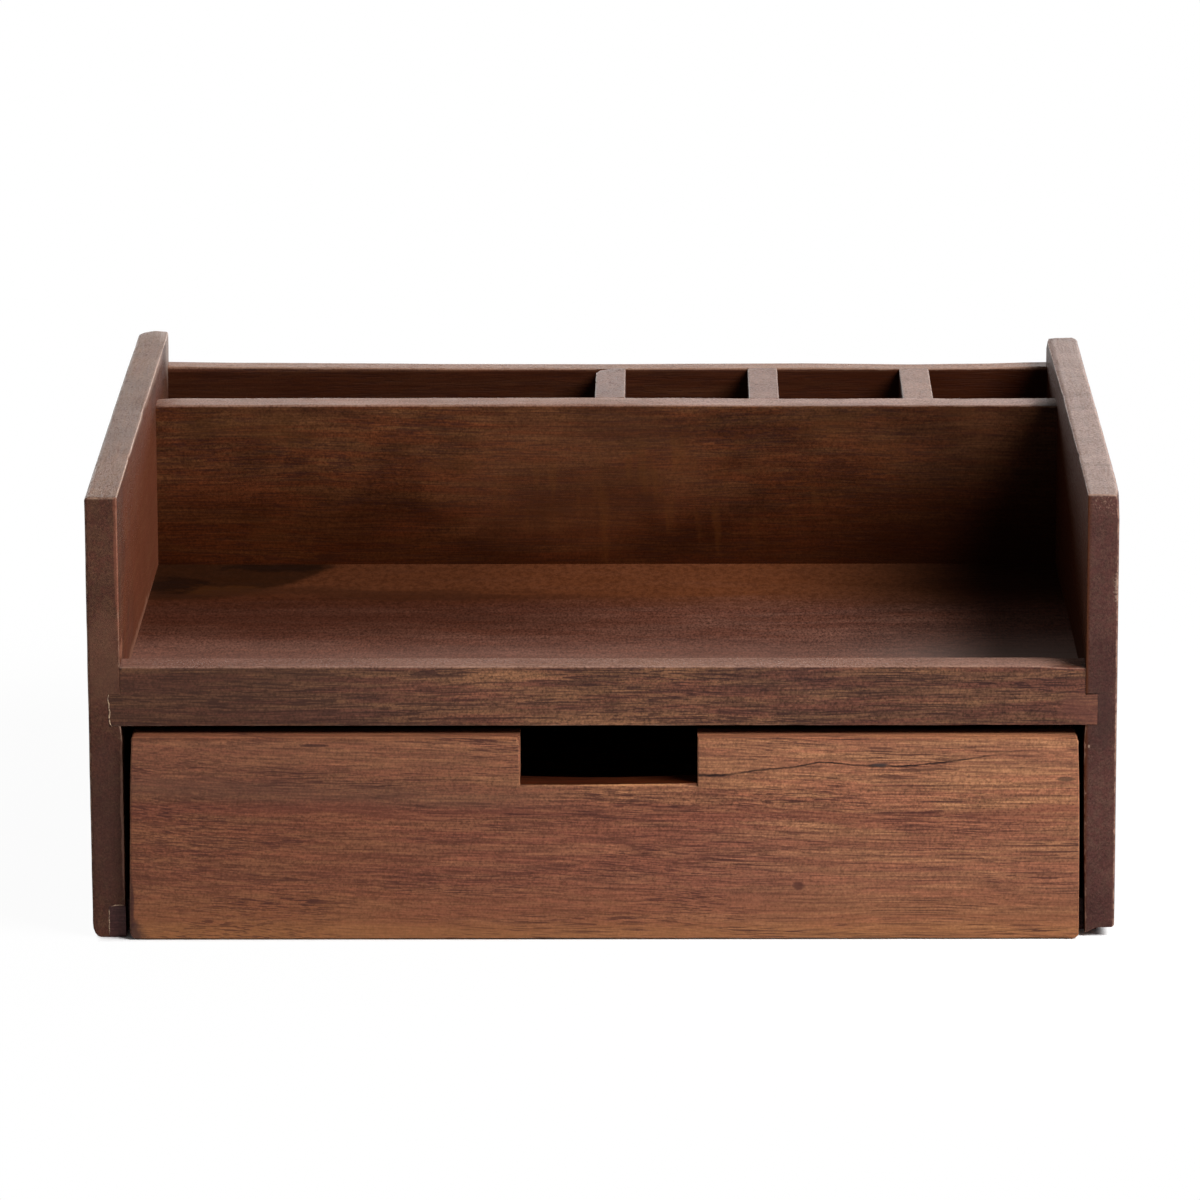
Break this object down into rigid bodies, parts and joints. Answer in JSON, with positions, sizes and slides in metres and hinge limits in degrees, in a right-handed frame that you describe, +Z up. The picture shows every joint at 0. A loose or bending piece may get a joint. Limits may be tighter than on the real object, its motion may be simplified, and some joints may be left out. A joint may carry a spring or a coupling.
{
  "type": "desk storage box",
  "caption": "Dark wooden desk box with an open tray, a row of upright compartments behind it and a wide drawer with a finger notch below.",
  "frame": {"origin": "on the desk, in the middle of the whole box with the drawer pushed in", "axes": "+X to the right seen from the drawer's side, +Y from the drawer to the back, +Z up"},
  "size_m": [0.38, 0.292, 0.1712],
  "materials": {
    "side_wood": "dark stained, wiped oil, satin",
    "bottom_wood": "dark stained, wiped oil",
    "shelf_wood": "dark stained, wiped oil, satin",
    "rail_wood": "dark stained, wiped oil, satin",
    "partition_wood": "dark stained, wiped oil, satin",
    "back_wood": "dark stained, wiped oil, satin",
    "divider_wood": "dark stained, wiped oil, satin",
    "drawer_front_wood": "brown stained, wiped oil, satin",
    "drawer_box_wood": "lightly oiled",
    "drawer_panel_wood": "thin panel, lightly oiled",
    "dowel_wood": "plain beech",
    "steel": "plain"
  },
  "bodies": {
    "case": {"left_side": "side_wood", "right_side": "side_wood", "bottom_board": "bottom_wood", "shelf_board": "shelf_wood", "front_rail": "rail_wood", "partition": "partition_wood", "back_panel": "back_wood", "divider_1": "divider_wood", "divider_2": "divider_wood", "divider_3": "divider_wood", "partition_dowels": "dowel_wood", "back_panel_dowels": "dowel_wood", "divider_dowels": "dowel_wood", "bottom_brads": "steel"},
    "drawer": {"drawer_front": "drawer_front_wood", "drawer_side_left": "drawer_box_wood", "drawer_side_right": "drawer_box_wood", "drawer_back": "drawer_box_wood", "drawer_bottom": "drawer_panel_wood", "drawer_front_dowels": "dowel_wood", "drawer_back_dowels": "dowel_wood", "drawer_bottom_brads": "steel"}
  },
  "joints": [
    {"name": "drawer_slide", "type": "slide", "parent": "case", "child": "drawer", "axis": [0, -1, 0], "range_m": [0, 0.22]}
  ]
}
